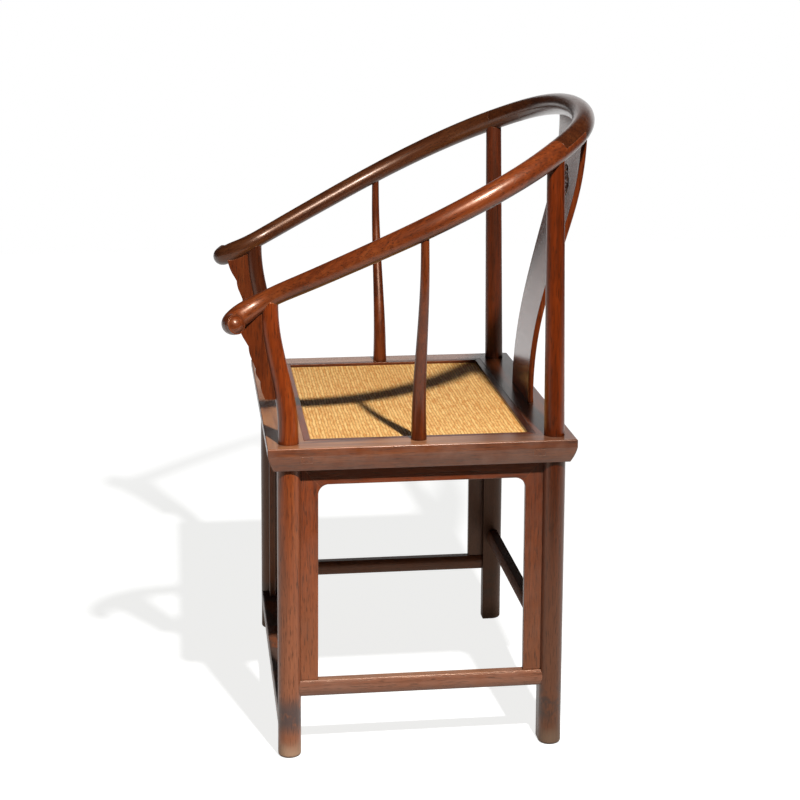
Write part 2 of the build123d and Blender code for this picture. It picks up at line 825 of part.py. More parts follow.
for side_name, side in SIDES.items():
    front_x, front_y = leg_center(side, -1, side_z)
    back_x, back_y = leg_center(side, 1, side_z)
    bar = stretcher_bar(back_y - front_y)
    bar = Pos(front_x, (front_y + back_y) / 2, side_z) * Rot(0, 0, 90) * bar
    for leg_name, leg_end in (("front", -1), ("rear", 1)):
        bar -= legs[leg_name, side_name]
    for leg_name, leg_end in (("front", -1), ("rear", 1)):
        place = Vector(front_x, leg_face_y(leg_end, side_z), side_z)
        bar += stretcher_tenon(place, Vector(0, leg_end, 0))
        legs[leg_name, side_name] -= stretcher_tenon(place, Vector(0, leg_end, 0), joint_clearance)
    parts["side_stretcher_" + side_name] = bar

back_x, back_y = leg_center(1, 1, back_z)
back_bar = Pos(0, back_y, back_z) * stretcher_bar(2 * back_x)

rest_x, rest_y = leg_center(1, -1, foot_z)
rest = Box(2 * rest_x, leg_diameter, footrest_thickness)
rest = fillet(rest.edges().filter_by(Axis.X).group_by(Axis.Z)[-1], footrest_round)
rest = fillet(rest.edges().filter_by(Axis.X).group_by(Axis.Z)[0], edge_break)
rest = Pos(0, rest_y, foot_z) * rest

for side_name, side in SIDES.items():
    back_bar -= legs["rear", side_name]
    rest -= legs["front", side_name]
for side_name, side in SIDES.items():
    place = Vector(side * leg_face_x(1, back_z), back_y, back_z)
    back_bar += stretcher_tenon(place, Vector(side, 0, 0))
    legs["rear", side_name] -= stretcher_tenon(place, Vector(side, 0, 0), joint_clearance)
    place = Vector(side * leg_face_x(-1, foot_z), rest_y, foot_z)
    rest += stretcher_tenon(place, Vector(side, 0, 0))
    legs["front", side_name] -= stretcher_tenon(place, Vector(side, 0, 0), joint_clearance)
parts["back_stretcher"] = back_bar
parts["footrest"] = rest

# ---- surrounds under the seat: both sides and the front
above_frame = block((-far, -far, frame_bottom), (far, far, far))
for side_name, side in SIDES.items():
    low = side_stretcher_top
    plane = tilted_plane((side * leg_x, 0, frame_bottom), (0, side, 0), splay_side)
    ends = (-1, 1) if side > 0 else (1, -1)
    low_span = [side * leg_face_y(end, low) for end in ends]
    high_span = [side * leg_face_y(end, frame_bottom) for end in ends]
    near_legs = [legs["front", side_name], legs["rear", side_name]]
    stretcher = parts["side_stretcher_" + side_name]
    head, first, second, groove = build_arch(
        plane, low_span, high_span, low, near_legs + [stretcher, above_frame]
    )
    front_board, rear_board = (first, second) if side > 0 else (second, first)
    parts["side_apron_" + side_name] = head
    parts["side_board_" + side_name + "_front"] = front_board
    parts["side_board_" + side_name + "_rear"] = rear_board
    legs["front", side_name] -= groove
    legs["rear", side_name] -= groove
    frame[side_name] -= groove
    frame["front"] -= groove
    frame["back"] -= groove

low = footrest_top
plane = tilted_plane((0, front_leg_y, frame_bottom), (1, 0, 0), splay_front)
low_span = [-leg_face_x(-1, low), leg_face_x(-1, low)]
high_span = [-leg_face_x(-1, frame_bottom), leg_face_x(-1, frame_bottom)]
front_legs = [legs["front", "left"], legs["front", "right"]]
head, first, second, groove = build_arch(
    plane, low_span, high_span, low, front_legs + [parts["footrest"], above_frame]
)
parts["front_apron"] = head
parts["front_board_right"] = first
parts["front_board_left"] = second
for name in ("left", "right"):
    legs["front", name] -= groove
    frame[name] -= groove
frame["front"] -= groove

# ---- short apron at the back
apron_low = frame_bottom - back_apron_height
span = leg_face_x(1, frame_bottom)
half_board = board_thickness / 2
half_tongue = tongue_thickness / 2
back_apron = block(
    (-span - over, rear_leg_y - half_board, apron_low), (span + over, rear_leg_y + half_board, frame_bottom)
)
lower_edges = back_apron.edges().filter_by(Axis.X).group_by(Axis.Z)[0]
back_apron = chamfer(lower_edges, edge_break)
for name in ("left", "right"):
    back_apron -= legs["rear", name]
reach = span + tongue_depth
slack = joint_clearance
back_apron += block(
    (-reach, rear_leg_y - half_tongue, apron_low + tongue_depth),
    (reach, rear_leg_y + half_tongue, frame_bottom + tongue_depth),
)
groove = block(
    (-reach - slack, rear_leg_y - half_tongue - slack, apron_low + tongue_depth - slack),
    (reach + slack, rear_leg_y + half_tongue + slack, frame_bottom + tongue_depth + slack),
)
for name in ("left", "right"):
    legs["rear", name] -= groove
    frame[name] -= groove
frame["back"] -= groove
parts["back_apron"] = back_apron

# ---- shaped apron under the footrest
low = foot_bottom - footrest_apron_end_drop
plane = tilted_plane((0, front_leg_y, frame_bottom), (1, 0, 0), splay_front)
low_span = [-leg_face_x(-1, low) - over, leg_face_x(-1, low) + over]
high_span = [-leg_face_x(-1, foot_bottom) - over, leg_face_x(-1, foot_bottom) + over]
face = arch_face(
    low_span, high_span, low, foot_bottom + over, footrest_apron_end_width + over,
    footrest_apron_drop + over, footrest_apron_radius,
)
foot_apron = extrude(plane * face, amount=board_thickness / 2, both=True)
foot_apron -= parts["footrest"] + legs["front", "left"] + legs["front", "right"]
parts["footrest_apron"] = foot_apron

# ---- splat
crest_bottom = rail_height(crest_y) + crest_lift
splat = splat_slab(splat_thickness, seat_height, crest_bottom, splat_top_width + 2 * over)
splat &= splat_outline(seat_height, crest_bottom)
long_edges = splat.edges().filter_by(lambda edge: edge.length > splat_shoulder_rise)
splat = fillet(long_edges, splat_edge_round)
splat -= rail
splat -= medallion_ground()
tongue_top = crest_bottom - rail_back_diameter / 2 + splat_tongue_depth / 2
tongue_bottom = seat_height - splat_tongue_depth
lower_tongue = block(
    (-splat_base_width / 2 + splat_tongue_depth, splat_y(seat_height) - splat_tongue / 2, tongue_bottom),
    (splat_base_width / 2 - splat_tongue_depth, splat_y(seat_height) + splat_tongue / 2, seat_height),
)
upper_tongue = splat_slab(splat_tongue, tongue_top - 2 * splat_tongue_depth, tongue_top, splat_base_width)
splat += lower_tongue + upper_tongue
upper_slot = splat_slab(
    splat_tongue + 2 * joint_clearance,
    tongue_top - 2 * splat_tongue_depth,
    tongue_top + joint_clearance,
    splat_base_width + 2 * joint_clearance,
)
frame["back"] -= block(
    (
        -splat_base_width / 2 + splat_tongue_depth - slack,
        splat_y(seat_height) - splat_tongue / 2 - slack,
        tongue_bottom - slack,
    ),
    (
        splat_base_width / 2 - splat_tongue_depth + slack,
        splat_y(seat_height) + splat_tongue / 2 + slack,
        seat_height,
    ),
)
parts["back_splat"] = splat

# ---- hand brackets
for side_name, side in SIDES.items():
    leg = legs["front", side_name]
    bracket = bracket_sheet(side, bracket_thickness) - rail - front_post(side)
    bracket = bracket.solids().sort_by(Axis.Y)[0]
    core = front_post(side, 2 * tongue_depth)
    tongue = (bracket_sheet(side, tongue_thickness) & front_post(side)) - core - rail
    tongue = tongue.solids().sort_by(Axis.Y)[0]
    groove_core = front_post(side, 2 * (tongue_depth + joint_clearance))
    groove = bracket_sheet(side, tongue_thickness + 2 * joint_clearance) & front_post(side)
    groove = (groove - groove_core).solids().sort_by(Axis.Y)[0]
    legs["front", side_name] = leg - groove
    parts["hand_bracket_" + side_name] = bracket + tongue

# ---- mortises in the rail, then its three lengths and the pegs of the scarf joints
for side in SIDES.values():
    for place, diameter in (
        (rear_top, post_tenon_diameter),
        (side_top, side_post_tenon_diameter),
        (front_top, post_tenon_diameter),
    ):
        rail -= top_tenon(side * place[0], place[1], diameter, joint_clearance)
rail -= upper_slot

pegs = []
back_rail = rail
for side_name, side in SIDES.items():
    joint = scarf_frame(axis, side)
    zone = scarf_zone(joint)
    peg = (joint * Box(scarf_peg_width, scarf_peg_width, rail_back_diameter * 2)) & rail
    pegs.append(peg)
    back_rail = back_rail - zone - peg
    parts["crest_rail_arm_" + side_name] = (rail & zone) - peg
parts["crest_rail_back"] = back_rail
parts["crest_scarf_pegs"] = Compound(children=pegs)

for (end_name, side_name), leg in legs.items():
    parts[end_name + "_leg_" + side_name] = leg
for name, member in frame.items():
    parts["seat_frame_" + name] = member

for name, shape in parts.items():
    export_step(shape, "parts/" + name + ".step")
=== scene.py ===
"""Horseshoe back armchair: hardwood, woven cane, coir net, carving, floor and light."""

from math import cos, pi, sin

import bpy
import numpy as np
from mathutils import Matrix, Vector
from mathutils.bvhtree import BVHTree


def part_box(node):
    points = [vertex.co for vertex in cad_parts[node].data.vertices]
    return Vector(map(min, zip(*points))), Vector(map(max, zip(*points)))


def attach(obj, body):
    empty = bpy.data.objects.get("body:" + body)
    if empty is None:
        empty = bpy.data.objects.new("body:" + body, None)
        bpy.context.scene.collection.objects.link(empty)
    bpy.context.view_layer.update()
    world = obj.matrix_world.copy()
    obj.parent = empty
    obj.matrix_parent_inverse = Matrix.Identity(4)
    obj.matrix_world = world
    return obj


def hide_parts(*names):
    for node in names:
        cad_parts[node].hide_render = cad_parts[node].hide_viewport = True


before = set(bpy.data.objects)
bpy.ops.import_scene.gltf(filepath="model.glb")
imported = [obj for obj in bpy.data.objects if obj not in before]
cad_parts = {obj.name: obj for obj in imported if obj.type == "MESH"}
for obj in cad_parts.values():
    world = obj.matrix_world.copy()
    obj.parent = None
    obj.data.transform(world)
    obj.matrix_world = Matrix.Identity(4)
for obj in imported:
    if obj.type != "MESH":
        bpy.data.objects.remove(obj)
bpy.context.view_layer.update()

# ------------------------------------------------------------------ camera
LENS = 80
CAMERA_PLACE = Vector((2.8053, -0.3414, 1.2063))
CAMERA_AIM = Vector((0, 0, 0.49))

camera_data = bpy.data.cameras.new("camera")
camera_data.lens = LENS
camera = bpy.data.objects.new("camera", camera_data)
bpy.context.collection.objects.link(camera)
camera.location = CAMERA_PLACE
camera.rotation_euler = (CAMERA_AIM - CAMERA_PLACE).to_track_quat("-Z", "Y").to_euler()
bpy.context.scene.camera = camera


# ------------------------------------------------------------------ node writing
class Wire:
    """A socket of a node tree. Sums written with wires add Math nodes to the tree."""

    def __init__(self, tree, socket=None):
        self.tree = tree
        self.socket = socket

    def node(self, kind, settings=None, inputs=None, output=0):
        """Add a node: its settings first, then values or wires for its sockets."""
        made = self.tree.nodes.new(kind)
        for name, value in (settings or {}).items():
            if name == "stops":
                fill_ramp(made.color_ramp, value)
            else:
                setattr(made, name, value)
        for name, value in (inputs or {}).items():
            if isinstance(value, Wire):
                self.tree.links.new(value.socket, made.inputs[name])
            else:
                made.inputs[name].default_value = value
        return Wire(self.tree, made.outputs[output] if made.outputs else None)

    def smooth(self, low, high):
        """0 below low, 1 above high, and a smooth step between them."""
        sockets = {"Value": self, "From Min": low, "From Max": high}
        return self.node("ShaderNodeMapRange", {"interpolation_type": "SMOOTHSTEP"}, sockets)

    def __add__(self, other):
        return calc("ADD", self, other)

    def __radd__(self, other):
        return calc("ADD", other, self)

    def __sub__(self, other):
        return calc("SUBTRACT", self, other)

    def __rsub__(self, other):
        return calc("SUBTRACT", other, self)

    def __mul__(self, other):
        return calc("MULTIPLY", self, other)

    def __rmul__(self, other):
        return calc("MULTIPLY", other, self)

    def __truediv__(self, other):
        return calc("DIVIDE", self, other)

    def __rtruediv__(self, other):
        return calc("DIVIDE", other, self)


def first_wire(values):
    """The wire among values and wires, which knows the tree that a new node belongs to."""
    return next(value for value in values if isinstance(value, Wire))


def calc(operation, *values):
    """A Math node on values and wires."""
    settings = {"operation": operation}
    return first_wire(values).node("ShaderNodeMath", settings, dict(enumerate(values)))


def vector_calc(operation, *values, output=0):
    """A Vector Math node on vectors and wires."""
    settings = {"operation": operation}
    sockets = dict(enumerate(values))
    return first_wire(values).node("ShaderNodeVectorMath", settings, sockets, output)


def fill_ramp(ramp, stops):
    """Give a colour ramp its stops, each a place and a colour."""
    while len(ramp.elements) < len(stops):
        ramp.elements.new(1.0)
    for element, (place, color) in zip(ramp.elements, stops):
        element.position = place
        element.color = (*color, 1)


def mixed(share, first, second, blend_type="MIX"):
    """Two colours mixed by a share."""
    first, second = (c if isinstance(c, Wire) else (*c, 1) for c in (first, second))
    settings = {"data_type": "RGBA", "blend_type": blend_type}
    sockets = {0: share, 6: first, 7: second}
    return first_wire(sockets.values()).node("ShaderNodeMix", settings, sockets, 2)


def parts_of(vector):
    """The three numbers of a vector."""
    return [vector.node("ShaderNodeSeparateXYZ", {}, {0: vector}, axis) for axis in range(3)]


def noise(place, scale, detail=2.0, roughness=0.5, distortion=0.0):
    """Cloudy noise at a place, from 0 to 1, with its scale in clouds per metre."""
    sockets = {"Vector": place, "Scale": scale, "Detail": detail}
    sockets.update({"Roughness": roughness, "Distortion": distortion})
    return place.node("ShaderNodeTexNoise", {}, sockets)


def new_material(name, **constants):
    """A material with one Principled shader. Its constants are set on the shader's own sockets."""
    material = bpy.data.materials.new(name)
    material.use_nodes = True
    shader = material.node_tree.nodes["Principled BSDF"]
    for socket, value in constants.items():
        shader.inputs[socket.replace("_", " ")].default_value = value
    return material, shader, Wire(material.node_tree)


def feed(shader, **wires):
    """Link wires to the shader's sockets of the same names."""
    for socket, wire in wires.items():
        wire.tree.links.new(wire.socket, shader.inputs[socket.replace("_", " ")])


# ------------------------------------------------------------------ hardwood
HEART_DARK = (0.050, 0.009, 0.003)
HEART_RED = (0.205, 0.035, 0.006)
HEART_GOLD = (0.330, 0.073, 0.014)
HEART_STOPS = [(0.25, HEART_DARK), (0.50, HEART_RED), (0.78, HEART_GOLD)]
PORE = (0.016, 0.006, 0.003)
RUBBED = (0.385, 0.130, 0.052)
# pale scuffs, which also paint a grey sheen
SCUFF_AND_SHEEN = (0.260, 0.150, 0.110)
FOOT_TAN = (0.520, 0.280, 0.140)
STAIN = (0.058, 0.042, 0.034)
WORN_EDGE = (0.440, 0.170, 0.075)
# painted light on the faces that look upwards
PAINTED_TOP_LIGHT = (0.480, 0.220, 0.095)
# painted shade for corners and joints
CORNER_SHADE = (0.012, 0.006, 0.003)
SHEEN_TINT = (1.0, 0.62, 0.42, 1.0)

# figure of the wood: clouds per metre, and how much longer than wide they are along the grain
CLOUD_SCALE, BAND_SCALE, CURL_SCALE, STREAK_SCALE, PORE_SCALE = 26, 48, 150, 330, 700
DRAWN_OUT = 13
# the sticks are sawn well away from the pith
PITH_DISTANCE = 0.6
RING_SPACING = 0.0075
# heights over which the wear of the lower parts comes or goes
RUBBED_HEIGHTS = (0.05, 0.47)
STAIN_FOOT, STAIN_HEAD = (0.030, 0.060), (0.075, 0.110)
SOLE_HEIGHTS = (0.016, 0.048)
TOP_LIGHT_REACH = (-0.10, 0.24)  # from front to rear, where the painted light on the upward faces weakens
ARRIS_RADIUS = 0.0011
CORNER_REACH = 0.010
FIBRE_DEPTH = 0.0002
WOOD_ROUGHNESS = 0.27
LACQUER_WEIGHT, LACQUER_ROUGHNESS = 0.22, 0.22
LACQUER_LOSS = 6  # lacquer that dull wood has lost: all of it where dull is above a sixth


def grain_places(place, grain, seed):
    """Coordinates turned along a piece's grain: true to size, and drawn out along it.

    The seed picks the place in the tree that the piece is sawn from.
    """
    turn = Vector(grain).to_track_quat("Z", "Y").to_euler()
    shift = (0.31 * sin(seed * 3.1), 0.27 * cos(seed * 1.7), 0.4 * sin(seed))
    places = []
    for length in (1, DRAWN_OUT):
        sockets = {"Vector": place, "Location": shift, "Rotation": turn, "Scale": (1, 1, length)}
        places.append(place.node("ShaderNodeMapping", {"vector_type": "TEXTURE"}, sockets))
    return places


def wood_cast(tone, brown):
    """Factors for the wood's colour. Brown wood has more green and blue in it, red wood less."""
    return tone * (1 - 0.08 * brown), tone * (1 + 0.40 * brown), tone * (1 + 1.4 * brown)


def hardwood(
    name, grain, tone, seed, fade=None, scuff_and_sheen=0.0, mottle=0.0, dull=0.0, brown=0.0, pale=0.0
):
    """Polished red-brown hardwood sawn along one direction, rubbed and scuffed towards the floor;
    the pale scuffs also paint a grey sheen.

    fade is an axis number, two places on it, and the tone and brownness reached at the second one.
    dull is added to the roughness and takes lacquer away; below 0 the wood is glossier. brown moves
    the colour from red to brown. pale is how strongly painted light brightens the faces that look
    upwards.
    """
    material, shader, start = new_material(
        name, Coat_Roughness=LACQUER_ROUGHNESS, Coat_IOR=1.5, IOR=1.52, Specular_Tint=SHEEN_TINT
    )
    place = start.node("ShaderNodeTexCoord", output="Object")
    spot = parts_of(place)
    height = spot[2]
    turned, drawn = grain_places(place, grain, seed)
    bands = noise(drawn, BAND_SCALE, 3, 0.55, 0.5)
    streaks = noise(drawn, STREAK_SCALE, 2, 0.6)
    pores = noise(drawn, PORE_SCALE, 1, 0.5).smooth(0.57, 0.68)
    cloudy = noise(place, CLOUD_SCALE, 3, 0.6)
    across, through, _ = parts_of(turned)
    off_pith = across + PITH_DISTANCE
    from_pith = calc("SQRT", off_pith * off_pith + through * through) + bands * 0.02
    rings = calc("SINE", from_pith * (2 * pi / RING_SPACING)).smooth(0.1, 1.0)

    heart = bands * 0.65 + streaks * 0.35
    color = start.node("ShaderNodeValToRGB", {"stops": HEART_STOPS}, {0: heart})
    color = mixed(rings * 0.20, color, HEART_DARK)
    if mottle:
        curls = noise(drawn, CURL_SCALE, 5, 0.65, 2.0)
        color = mixed(curls.smooth(0.50, 0.66) * mottle, color, HEART_DARK)

    # feet and brooms rub the lower parts, and the soles are bare
    rubbed = 1 - height.smooth(*RUBBED_HEIGHTS)
    color = mixed(rubbed * (0.35 + streaks * 0.5), color, RUBBED)
    color = mixed(pores * 0.60, color, PORE)
    stain_ring = height.smooth(*STAIN_FOOT) - height.smooth(*STAIN_HEAD)
    color = mixed(cloudy.smooth(0.42, 0.56) * stain_ring * 0.9, color, STAIN)
    sole = 1 - (height + cloudy * 0.022).smooth(*SOLE_HEIGHTS)
    color = mixed(sole * 0.85, color, FOOT_TAN)

    # arrises are rubbed paler, and painted shade darkens the corners and joints
    soft_normal = start.node("ShaderNodeBevel", {"samples": 4}, {"Radius": ARRIS_RADIUS})
    true_normal = start.node("ShaderNodeNewGeometry", output="Normal")
    arris = 1 - vector_calc("DOT_PRODUCT", soft_normal, true_normal, output="Value")
    color = mixed((arris * 5).smooth(0.05, 0.9) * (0.25 + bands * 0.6), color, WORN_EDGE)
    open_air = start.node(
        "ShaderNodeAmbientOcclusion", {"samples": 5}, {"Distance": CORNER_REACH}, "AO"
    )
    color = mixed((1 - open_air.smooth(0.25, 0.85)) * 0.8, color, CORNER_SHADE)

    shade = wood_cast(tone, brown)
    if fade:
        axis, first, second, *other_end = fade
        shade = mixed(spot[axis].smooth(first, second), shade, wood_cast(*other_end))
    color = mixed(1.0, color, shade, "MULTIPLY")
    # pale scuffs, partly real and partly a painted grey sheen
    if scuff_and_sheen:
        color = mixed(cloudy.smooth(0.20, 0.85) * scuff_and_sheen, color, SCUFF_AND_SHEEN)
    # painted light: faces that look upwards are paler, more so at the front
    if pale:
        towards_front = 1 - spot[1].smooth(*TOP_LIGHT_REACH) * 0.75
        upward = parts_of(true_normal)[2].smooth(0.80, 0.99) * towards_front
        color = mixed(upward * bands.smooth(0.25, 0.65) * pale, color, PAINTED_TOP_LIGHT)

    wear = cloudy * 0.06 + rubbed * 0.06 + sole * 0.25
    rough = (WOOD_ROUGHNESS + dull) + streaks * 0.10 + wear
    relief = streaks * 0.5 - pores
    sockets = {"Strength": 0.35, "Distance": FIBRE_DEPTH, "Height": relief, "Normal": soft_normal}
    fibre = start.node("ShaderNodeBump", {}, sockets)
    feed(shader, Base_Color=color, Roughness=rough, Normal=fibre)
    lacquer = LACQUER_WEIGHT * (1 - LACQUER_LOSS * dull)
    if lacquer > 0:
        feed(shader, Coat_Weight=(1 - rubbed * 0.6) * lacquer)
    return material


ALONG_X = (1, 0, 0)
ALONG_Y = (0, 1, 0)
UPRIGHT = (0, 0, 1)
# each arm runs forward, down and a little outward
ALONG_LEFT_ARM = (0.10, -0.89, -0.43)
ALONG_RIGHT_ARM = (-0.10, -0.89, -0.43)
# grain direction and tone of each piece, where a tone of 1 is the palest timber; the tones are
# partly the wood's own and partly painted shade, lower for the right-hand pieces, the rear pieces
# and the crest rail's back
TIMBER_AND_SHADE = {
    "crest_rail_back": (ALONG_X, 0.27),
    "crest_rail_arm_left": (ALONG_LEFT_ARM, 0.66),
    "crest_rail_arm_right": (ALONG_RIGHT_ARM, 0.36),
    "crest_scarf_pegs": (UPRIGHT, 0.4),
    "back_splat": (UPRIGHT, 0.60),
    "rear_leg_left": (UPRIGHT, 0.33),
    "rear_leg_right": (UPRIGHT, 0.14),
    "front_leg_left": (UPRIGHT, 0.98),
    "front_leg_right": (UPRIGHT, 0.30),
    "side_post_left": (UPRIGHT, 0.50),
    "side_post_right": (UPRIGHT, 0.50),
    "hand_bracket_left": (UPRIGHT, 0.62),
    "hand_bracket_right": (UPRIGHT, 0.50),
    "seat_frame_front": (ALONG_X, 0.85),
    "seat_frame_back": (ALONG_X, 0.55),
    "seat_frame_left": (ALONG_Y, 0.85),
    "seat_frame_right": (ALONG_Y, 0.80),
    "seat_brace_left": (ALONG_Y, 0.7),
    "seat_brace_right": (ALONG_Y, 0.7),
    "seat_strip_front": (ALONG_X, 0.75),
    "seat_strip_back": (ALONG_X, 0.20),
    "seat_strip_left": (ALONG_Y, 0.45),
    "seat_strip_right": (ALONG_Y, 0.45),
    "front_apron": (ALONG_X, 0.65),
    "front_board_left": (UPRIGHT, 0.75),
    "front_board_right": (UPRIGHT, 0.70),
    "side_apron_left": (ALONG_Y, 0.75),
    "side_apron_right": (ALONG_Y, 0.65),
    "side_board_left_front": (UPRIGHT, 0.92),
    "side_board_left_rear": (UPRIGHT, 0.56),
    "side_board_right_front": (UPRIGHT, 0.3),
    "side_board_right_rear": (UPRIGHT, 0.20),
    "back_apron": (ALONG_X, 0.55),
    "footrest": (ALONG_X, 0.7),
    "footrest_apron": (ALONG_X, 0.65),
    "side_stretcher_left": (ALONG_Y, 0.80),
    "side_stretcher_right": (ALONG_Y, 0.55),
    "back_stretcher": (ALONG_X, 0.30),
}
# an axis, and the two places on it between which a piece changes its tone
LEG_TO_POST = (2, 0.40, 0.56)
FRONT_TO_REAR = (1, -0.20, 0.24)
# the posts are redder than their legs; painted shade darkens the lower parts of the rear legs and
# one side of the seat frame towards the rear
FINISH = {
    "crest_rail_back": {"brown": 0.8, "dull": -0.12},
    "crest_rail_arm_left": {"brown": 0.2},
    "crest_rail_arm_right": {"brown": 1.0},
    "back_splat": {"dull": -0.15},
    "rear_leg_left": {"fade": (*LEG_TO_POST, 0.56, -0.55), "brown": 0.3},
    "rear_leg_right": {"fade": (*LEG_TO_POST, 0.36, -0.5), "dull": 0.1},
    "front_leg_left": {"fade": (*LEG_TO_POST, 0.96, -0.25), "brown": 0.3},
    "seat_frame_front": {"scuff_and_sheen": 0.35, "brown": 0.7, "pale": 0.7},
    # painted shade: darker towards the rear
    "seat_frame_left": {
        "fade": (*FRONT_TO_REAR, 0.45, 0.5),
        "scuff_and_sheen": 0.35,
        "mottle": 0.5,
        "brown": 0.7,
        "pale": 0.6,
        "dull": -0.03,
    },
    "seat_frame_right": {"scuff_and_sheen": 0.2, "dull": -0.08, "brown": 0.8, "pale": 0.5},
    "seat_frame_back": {"brown": 0.8, "dull": -0.05},
    "side_stretcher_left": {"scuff_and_sheen": 0.35, "mottle": 0.3, "dull": -0.12, "brown": 0.5, "pale": 0.6},
    "side_stretcher_right": {"scuff_and_sheen": 0.25},
    "back_stretcher": {"dull": 0.35},
    "footrest": {"scuff_and_sheen": 0.35},
}
BOARD = {"mottle": 0.5, "scuff_and_sheen": 0.15}
SEED_STEP = 1.37


def dress(piece, material):
    """Give a piece of the frame one material."""
    piece.data.materials.clear()
    piece.data.materials.append(material)


for number, (piece_name, (grain, tone)) in enumerate(TIMBER_AND_SHADE.items()):
    finish = BOARD if "board" in piece_name or "apron" in piece_name else FINISH.get(piece_name, {})
    wood = hardwood("hardwood_" + piece_name, grain, tone, number * SEED_STEP, **finish)
    dress(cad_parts[piece_name], wood)

# ------------------------------------------------------------------ woven cane
MAT_LOW, MAT_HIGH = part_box("cane_seat")
MAT_CLEARANCE = 0.0002
MAT_HALF_X, MAT_HALF_Y = MAT_HIGH.x - MAT_CLEARANCE, MAT_HIGH.y - MAT_CLEARANCE
MAT_TOP, MAT_UNDERSIDE = MAT_HIGH.z, MAT_LOW.z
OPENING_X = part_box("seat_frame_left")[0].x
OPENING_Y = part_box("seat_frame_back")[0].y
MAT_SAG = 0.0045
SAG_POWER = 0.8  # below 1, the seat hangs flatter in the middle and steeper at its edges
MAT_COLUMNS, MAT_ROWS = 129, 89

COLUMN_WIDTH = 0.0048
STRAND = 0.0019
COLUMN_WANDER = 0.0040
CANE_DEPTH = 0.0006
WANDER_SCALE, DASH_SCALE, OLD_SCALE = 35, 210, 9
DASH_STRETCH = (0.28, 1, 1)
# scramble a strand's number and its column's into a tone of its own
STRAND_HASH, COLUMN_HASH, HASH_SPREAD = 12.9898, 78.233, 437.5
CANE_LIGHT = (1.000, 0.650, 0.250)
CANE_DARK = (0.640, 0.255, 0.040)
CANE_OLD = (0.600, 0.210, 0.035)
# painted shade in the gaps between strands
CANE_GAP_SHADE = (0.200, 0.070, 0.014)


def sag(x, y):
    """How far the worn seat hangs below its edges."""
    share_x = np.clip(1 - (x / OPENING_X) ** 2, 0, 1)
    share_y = np.clip(1 - (y / OPENING_Y) ** 2, 0, 1)
    return MAT_SAG * share_x**SAG_POWER * share_y**SAG_POWER


def cane_weave():
    """Herringbone of split cane: columns of slanted strands that lean to and fro by turns."""
    material, shader, start = new_material("woven_cane", IOR=1.38, Specular_Tint=SHEEN_TINT)
    place = start.node("ShaderNodeTexCoord", output="Object")
    x, y, _ = parts_of(place)
    wander = noise(place, WANDER_SCALE) - 0.5
    v = (y + wander * COLUMN_WANDER) / COLUMN_WIDTH
    column = calc("FLOOR", v)
    off_middle = calc("FRACT", v) - 0.5
    lean = calc("FLOORED_MODULO", column, 2)
    slant = off_middle * (lean * 2 - 1) * (COLUMN_WIDTH / STRAND)
    u = x / STRAND + slant
    off_strand = calc("ABSOLUTE", calc("FRACT", u) - 0.5)
    seam = calc("ABSOLUTE", off_middle).smooth(0.28, 0.48)
    gap = calc("MAXIMUM", seam, off_strand.smooth(0.34, 0.50) * 0.6)
    number = calc("FLOOR", u) * STRAND_HASH + column * COLUMN_HASH
    strand_tone = calc("FRACT", calc("SINE", number) * HASH_SPREAD)
    dashes = noise(vector_calc("MULTIPLY", place, DASH_STRETCH), DASH_SCALE, 2, 0.6)
    old = noise(place, OLD_SCALE, 3, 0.6)

    # painted shade: the columns that lean one way are darker
    color = mixed(strand_tone * 0.35 + lean * 0.25, CANE_LIGHT, CANE_DARK)
    color = mixed(dashes.smooth(0.45, 0.62) * 0.6, color, CANE_OLD)
    color = mixed(old.smooth(0.42, 0.75) * 0.28, color, CANE_OLD)
    # painted shade in the seams and gaps between strands
    color = mixed(gap * (0.75 - dashes * 0.55), color, CANE_GAP_SHADE)
    rough = 0.55 + gap * 0.3
    round_back = 1 - off_strand * off_strand * 1.6 - seam
    sockets = {"Strength": 0.8, "Distance": CANE_DEPTH, "Height": round_back}
    weave = start.node("ShaderNodeBump", {}, sockets)
    feed(shader, Base_Color=color, Roughness=rough, Normal=weave)
    return material


def mesh_piece(name, points, faces, material, smooth=True):
    """A new object with a mesh in its final place."""
    mesh = bpy.data.meshes.new(name)
    mesh.from_pydata([tuple(p) for p in points], [], [tuple(f) for f in faces])
    mesh.polygons.foreach_set("use_smooth", [smooth] * len(mesh.polygons))
    mesh.materials.append(material)
    piece = bpy.data.objects.new(name, mesh)
    bpy.context.collection.objects.link(piece)
    return piece


def closed_sheet(name, top, bottom, material):
    """Closed slab between two grids of points of the same shape."""
    rows, columns = top.shape[:2]
    index = np.arange(rows * columns).reshape(rows, columns)
    a, b, c, d = index[:-1, :-1], index[:-1, 1:], index[1:, 1:], index[1:, :-1]
    upper = np.stack([a, b, c, d], -1).reshape(-1, 4)
    lower = upper[:, ::-1] + rows * columns
    rim = np.concatenate([index[0], index[1:, -1], index[-1, -2::-1], index[-2:0:-1, 0]])
    after = np.roll(rim, -1)
    wall = np.stack([after, rim, rim + rows * columns, after + rows * columns], -1)
    points = np.concatenate([top.reshape(-1, 3), bottom.reshape(-1, 3)])
    return mesh_piece(name, points, np.concatenate([upper, lower, wall]), material)


mat_x, mat_y = np.meshgrid(
    np.linspace(-MAT_HALF_X, MAT_HALF_X, MAT_COLUMNS),
    np.linspace(-MAT_HALF_Y, MAT_HALF_Y, MAT_ROWS),
)
mat_drop = sag(mat_x, mat_y)
mat_top = np.stack([mat_x, mat_y, MAT_TOP - mat_drop], -1)
mat_underside = np.stack([mat_x, mat_y, MAT_UNDERSIDE - mat_drop], -1)
mat = closed_sheet("woven_mat", mat_top, mat_underside, cane_weave())
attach(mat, "root")
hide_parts("cane_seat")

